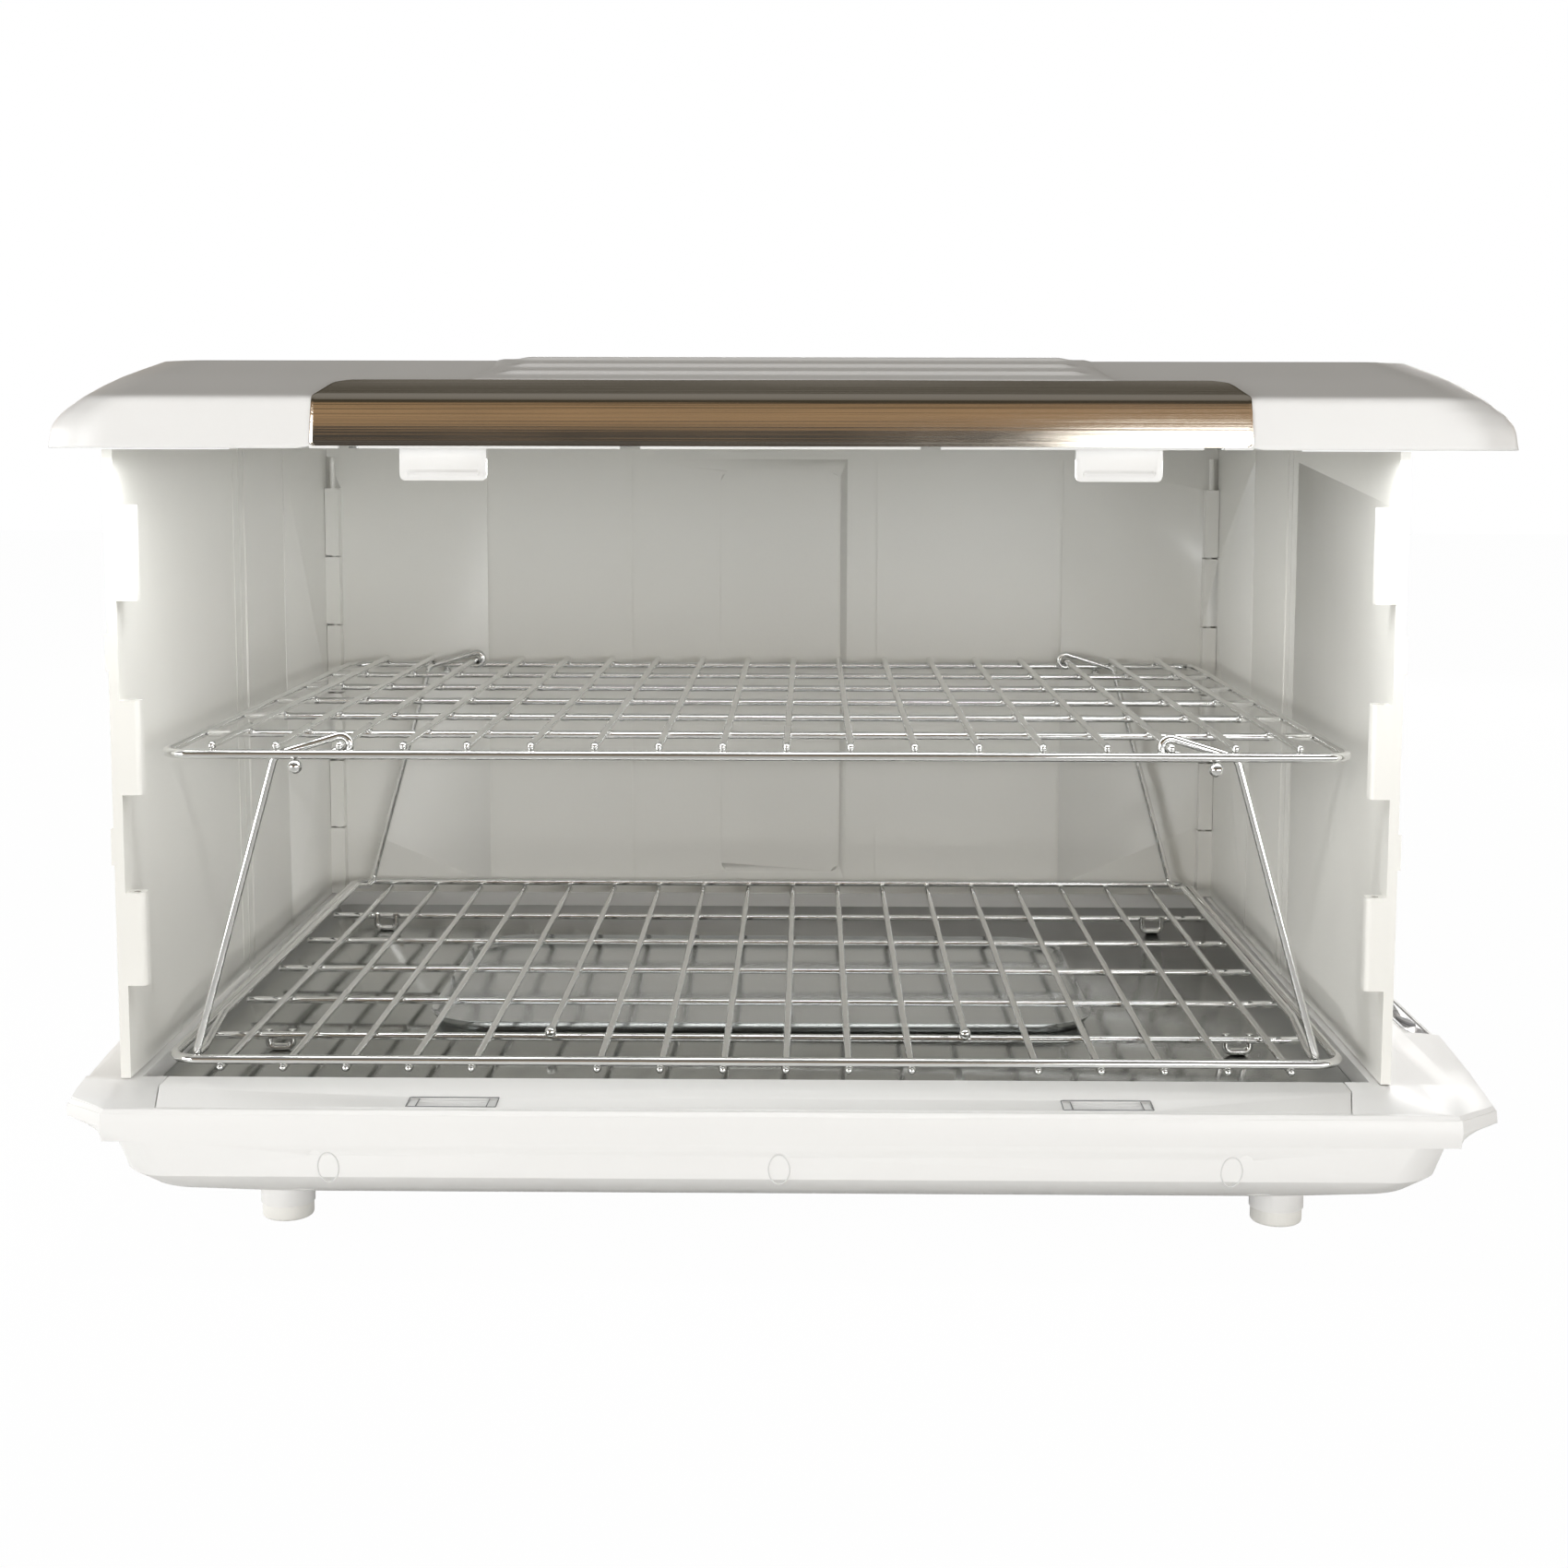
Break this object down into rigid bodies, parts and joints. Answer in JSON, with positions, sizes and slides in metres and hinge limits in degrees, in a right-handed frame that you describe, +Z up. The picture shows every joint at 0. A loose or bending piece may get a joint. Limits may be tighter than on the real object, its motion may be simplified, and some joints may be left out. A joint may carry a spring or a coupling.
{
  "type": "folding dough proofer",
  "caption": "Low folding proofing box with a heated base, an open front, folding side walls, a lift-off lid and wire racks, for keeping dough warm and moist while it rises.",
  "frame": {"origin": "on the surface the feet stand on, at the middle of the footprint", "axes": "+X to the right along the long side, -Y towards the open front, +Z up"},
  "size_m": [0.457, 0.368, 0.2785],
  "materials": {
    "body_white": "satin moulded off-white",
    "wall_white": "satin moulded off-white",
    "liner_white": "satin moulded off-white",
    "catch_grey": "fine matt grey",
    "trim_steel": "lengthwise brushed",
    "heater_aluminium": "satin sheet",
    "tray_metal": "bright pressed sheet",
    "rack_chrome": "bright plated wire",
    "foot_rubber": "matt off-white",
    "pin_steel": "plain drawn",
    "bezel_dark": "semi-gloss dark",
    "lens_clear": "clear smoked",
    "display_grey": "matt display face",
    "button_grey": "soft matt grey",
    "board_green": "coated laminate",
    "pad_fibre": "felted fibre",
    "contact_brass": "bare turned"
  },
  "bodies": {
    "base": {"base_pan": "body_white", "base_deck": "body_white", "base_screws": "pin_steel", "front_rail": "body_white", "latch_catches": "catch_grey", "heater_plate": "heater_aluminium", "heating_element": "pin_steel", "insulation_pad": "pad_fibre", "heat_shield": "heater_aluminium", "temperature_sensor": "contact_brass", "control_board": "board_green", "display_module": "display_grey", "control_bezel": "bezel_dark", "display_lens": "lens_clear", "power_inlet": "bezel_dark", "inlet_pins": "contact_brass", "water_tray": "tray_metal", "lower_frame": "rack_chrome", "lower_wires": "rack_chrome", "lower_cross_wires": "rack_chrome", "lower_wire_balls": "rack_chrome", "lower_feet": "rack_chrome", "foot_front_left": "foot_rubber", "foot_front_right": "foot_rubber", "foot_rear_left": "foot_rubber", "foot_rear_right": "foot_rubber"},
    "walls": {"back_wall": "wall_white", "left_rear_wall": "wall_white", "right_rear_wall": "wall_white", "left_fold_pin": "pin_steel", "right_fold_pin": "pin_steel", "corner_pins": "pin_steel"},
    "left_front": {"left_front_wall": "wall_white"},
    "right_front": {"right_front_wall": "wall_white"},
    "lid": {"lid_shell": "body_white", "lid_liner": "liner_white", "trim_plate": "trim_steel", "lid_ribs": "body_white", "lid_tab_left": "liner_white", "lid_tab_right": "liner_white", "lid_screws": "pin_steel"},
    "shelf": {"shelf_frame": "rack_chrome", "shelf_wires": "rack_chrome", "shelf_cross_wires": "rack_chrome", "shelf_balls": "rack_chrome"},
    "left_leg": {"left_leg": "rack_chrome"},
    "right_leg": {"right_leg": "rack_chrome"},
    "power_button": {"power_button": "button_grey"},
    "down_button": {"down_button": "button_grey"},
    "up_button": {"up_button": "button_grey"},
    "timer_button": {"timer_button": "button_grey"}
  },
  "joints": [
    {"name": "walls_lift", "type": "slide", "parent": "base", "child": "walls", "axis": [0, 0, 1], "range_m": [0, 0.12]},
    {"name": "lid_lift", "type": "slide", "parent": "walls", "child": "lid", "axis": [0, 0, 1], "range_m": [0, 0.12]},
    {"name": "left_front_fold", "type": "hinge", "parent": "walls", "child": "left_front", "pos_m": [-0.21095, -0.0022, 0.151], "axis": [0, 0, -1], "range_deg": [0, 170]},
    {"name": "right_front_fold", "type": "hinge", "parent": "walls", "child": "right_front", "pos_m": [0.19435, -0.0022, 0.151], "axis": [0, 0, 1], "range_deg": [0, 170]},
    {"name": "shelf_lift", "type": "slide", "parent": "base", "child": "shelf", "axis": [0, 0, 1], "range_m": [0, 0.084]},
    {"name": "left_leg_fold", "type": "hinge", "parent": "shelf", "child": "left_leg", "pos_m": [-0.1383, 0, 0.158], "axis": [0, -1, 0], "range_deg": [0, 112]},
    {"name": "right_leg_fold", "type": "hinge", "parent": "shelf", "child": "right_leg", "pos_m": [0.1217, 0, 0.158], "axis": [0, 1, 0], "range_deg": [0, 112]},
    {"name": "power_button_press", "type": "slide", "parent": "base", "child": "power_button", "axis": [-0.342, 0, -0.9397], "range_m": [0, 0.0008], "stiffness_N_per_m": 600},
    {"name": "down_button_press", "type": "slide", "parent": "base", "child": "down_button", "axis": [-0.342, 0, -0.9397], "range_m": [0, 0.0008], "stiffness_N_per_m": 600},
    {"name": "up_button_press", "type": "slide", "parent": "base", "child": "up_button", "axis": [-0.342, 0, -0.9397], "range_m": [0, 0.0008], "stiffness_N_per_m": 600},
    {"name": "timer_button_press", "type": "slide", "parent": "base", "child": "timer_button", "axis": [-0.342, 0, -0.9397], "range_m": [0, 0.0008], "stiffness_N_per_m": 600}
  ],
  "couplings": [
    {"joint": "left_leg_fold", "follows": "shelf_lift", "rad_per_m": 23.2},
    {"joint": "right_leg_fold", "follows": "shelf_lift", "rad_per_m": 23.2}
  ]
}
